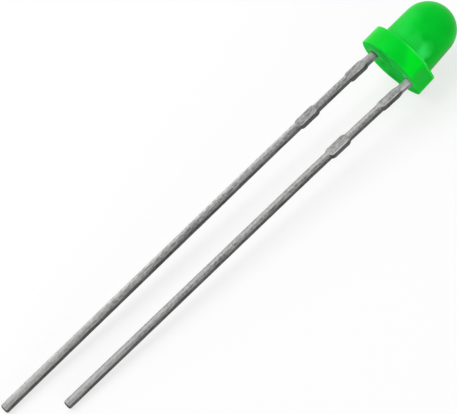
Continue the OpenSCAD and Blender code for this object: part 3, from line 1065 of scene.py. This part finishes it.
# %% [markdown]
# ## The pieces inside
# The chip is an amber crystal, the paste is epoxy full of silver flakes, and the
# wire is drawn gold. The resin hides all three, so maps of scratches and edges
# would be lost on them. Each gets a cloud of noise between two tones of its own
# colour, which also moves the roughness a little.

# %% Chip, paste and wire finishes
ROUGHNESS_SWING = 0.05


def plain_finish(name, dark, light, scale, roughness, metallic):
    """A clouded finish between two tones."""
    material, tree, shader = new_finish(name)
    cloud = noise(tree, lamp_millimetres(tree), scale, 4.0)
    fill(tree, shader, Base_Color=mix(tree, cloud, dark, light), Metallic=metallic,
         Roughness=ramp(tree, cloud, *NOISE_MIDDLE, roughness - ROUGHNESS_SWING,
                        roughness + ROUGHNESS_SWING))
    return material


# Node, finish, dark and light tone, scale of the cloud, roughness and metal.
INNER = (
    ("led_die", "amber_crystal", (0.62, 0.4, 0.1, 1), (0.85, 0.62, 0.2, 1), 9, 0.3, 0.0),
    ("die_attach", "silver_flake_paste",
     (0.55, 0.55, 0.54, 1), (0.78, 0.78, 0.76, 1), 30, 0.5, 0.4),
    ("bond_wire", "drawn_gold_wire", (0.85, 0.6, 0.2, 1), (0.98, 0.78, 0.35, 1), 40, 0.25, 1.0))

for node, *finish in INNER:
    dress(nodes[node], plain_finish(*finish))

# %% [markdown]
# ## Camera
# The view looks down on the lamp from its flat side, with the camera turned on
# its own axis so that the leads run from corner to corner. A tracking constraint
# could aim it, but it can't hold the turn. So the camera stands on a line from
# the point it aims at, in a given direction, and the turn comes last. The lens is
# long, as for small things, which keeps the leads nearly parallel.

# %% Place the camera
CAMERA_AZIMUTH = -95.923
CAMERA_ELEVATION = 50.916
CAMERA_ROLL = -39.036
CAMERA_DISTANCE = 67.153 * MM
CAMERA_LENS, SENSOR = 106.35, 36        # in millimetres of film
NEAREST, FARTHEST = 1 * MM, 10
AIM = Vector((0.2951, 0.3096, 1.7212)) * MM


def direction(azimuth, elevation):
    """Unit vector from angles in degrees."""
    a, e = math.radians(azimuth), math.radians(elevation)
    return Vector((math.cos(a) * math.cos(e), math.sin(a) * math.cos(e), math.sin(e)))


def look_along(way):
    """A rotation whose -Z points along way, with Y as near up as can be."""
    return way.to_track_quat("-Z", "Y")


camera = put_in_scene("camera", bpy.data.cameras.new("camera"))
toward = direction(CAMERA_AZIMUTH, CAMERA_ELEVATION)
roll = Euler((0, 0, math.radians(CAMERA_ROLL))).to_quaternion()
camera.rotation_mode = "QUATERNION"
camera.rotation_quaternion = look_along(-toward) @ roll
camera.location = AIM + toward * CAMERA_DISTANCE
camera.data.lens = CAMERA_LENS
camera.data.sensor_width = SENSOR
camera.data.clip_start = NEAREST
camera.data.clip_end = FARTHEST
bpy.context.scene.camera = camera
print("camera at", [round(c / MM, 2) for c in camera.location], "mm")

# %% [markdown]
# ## Table
# The lamp lies on a pale, plain table. Enough light to make a table white would
# bleach the green too. So the table's colour depends on who looks at it: the
# camera, a gloss or a clear piece sees white paper that glows a little, and the
# light that bounces on to the lamp meets a greyer one. A Light Path node tells
# these rays apart. The paper part is a real surface, so it keeps the soft shadow.

# %% Rays that look straight at the surroundings
def seen(tree):
    """1 for a ray from the camera, a gloss or a clear piece, and 0 for other light."""
    path = add(tree, "LightPath")
    return larger(tree, path.outputs["Is Camera Ray"],
                  larger(tree, path.outputs["Is Glossy Ray"],
                         path.outputs["Is Transmission Ray"]))


# %% The table
BOUNCE_GREY = (0.6, 0.6, 0.6, 1)    # the paper as bounced light meets it
WHITE = (1, 1, 1, 1)
SEEN_GLOW = 0.7                     # how much of what is seen is glow, and not paper
TABLE_HALF = 1.5                    # in metres


def table_finish():
    """White, partly glowing paper where it is seen, and grey paper where light bounces."""
    material = bpy.data.materials.new("pale_table")
    tree = bare_tree(material)
    straight_look = seen(tree)
    paper = add(tree, "BsdfDiffuse", Color=mix(tree, straight_look, BOUNCE_GREY, WHITE))
    glow = add(tree, "Emission", Strength=1.0)
    blend = add(tree, "MixShader", Fac=times(tree, straight_look, SEEN_GLOW))
    tree.links.new(paper.outputs["BSDF"], blend.inputs[1])
    tree.links.new(glow.outputs["Emission"], blend.inputs[2])
    tree.links.new(blend.outputs["Shader"], add(tree, "OutputMaterial").inputs["Surface"])
    return material


def table():
    """A flat square under the lamp."""
    half = TABLE_HALF
    corners = [(-half, -half, 0), (half, -half, 0), (half, half, 0), (-half, half, 0)]
    mesh = bpy.data.meshes.new("table")
    mesh.from_pydata(corners, [], [(0, 1, 2, 3)])
    mesh.materials.append(table_finish())
    top = put_in_scene("table", mesh)
    top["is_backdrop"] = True
    print(f"table: {2 * half:.1f} m square")
    return top


table()

# %% [markdown]
# ## Lamps and world
# A small glossy thing shows whatever is round it, so the light comes from large
# soft panels and a white world. A bare point lamp would leave a hard spot on the
# dome. The big panel overhead shapes the dome, and three low ones, weak, lift
# the flange's rim, the flat and the leads' undersides out of the shade.

# %% Soft lamps
def softbox(name, azimuth, elevation, distance, width, height, power):
    """An area lamp that looks at the lamp's middle. Distances in millimetres, power in watts."""
    light = bpy.data.lights.new(name, "AREA")
    light.shape = "RECTANGLE"
    light.size, light.size_y = width * MM, height * MM
    light.energy = power
    box = put_in_scene(name, light)
    way = direction(azimuth, elevation)
    box.location = way * distance * MM
    box.rotation_mode = "QUATERNION"
    box.rotation_quaternion = look_along(-way)
    print(f"{name}: {width} x {height} mm, {power} W")
    return box


softbox("overhead", 96, 62, 200, 240, 180, 0.25)
softbox("back_low", 65, 20, 180, 120, 50, 0.03)
softbox("front_low", -92, 18, 170, 90, 50, 0.065)
softbox("tail_low", 172, 14, 200, 60, 60, 0.03)

# %% World
WORLD_LIGHT, WORLD_SEEN = 0.45, 1.0     # how bright it lights, and how bright it looks


def white_world():
    """An even white round the scene, weaker as a light than it looks."""
    world = bpy.data.worlds.new("studio")
    tree = bare_tree(world)
    strength = add(tree, "MapRange", Value=seen(tree), To_Min=WORLD_LIGHT, To_Max=WORLD_SEEN)
    background = add(tree, "Background", Color=WHITE, Strength=strength.outputs["Result"])
    tree.links.new(background.outputs[0], add(tree, "OutputWorld").inputs["Surface"])
    return world


bpy.context.scene.world = white_world()
bpy.context.scene.view_settings.view_transform = "Standard"
print(f"world: lights at {WORLD_LIGHT}, looks {WORLD_SEEN}")

# %% [markdown]
# ## Sizes, and the end
# Drawn pieces can grow out of the imported lamp's box. A ruler in the viewport
# would show that once, and printed numbers show it after each run. So both
# boxes are printed.


bpy.context.view_layer.update()
for name, box in (("packed", packed_box), ("visual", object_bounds())):
    print(f"{name} box:", [round((high - low) / MM, 2) for low, high in zip(*box)], "mm")
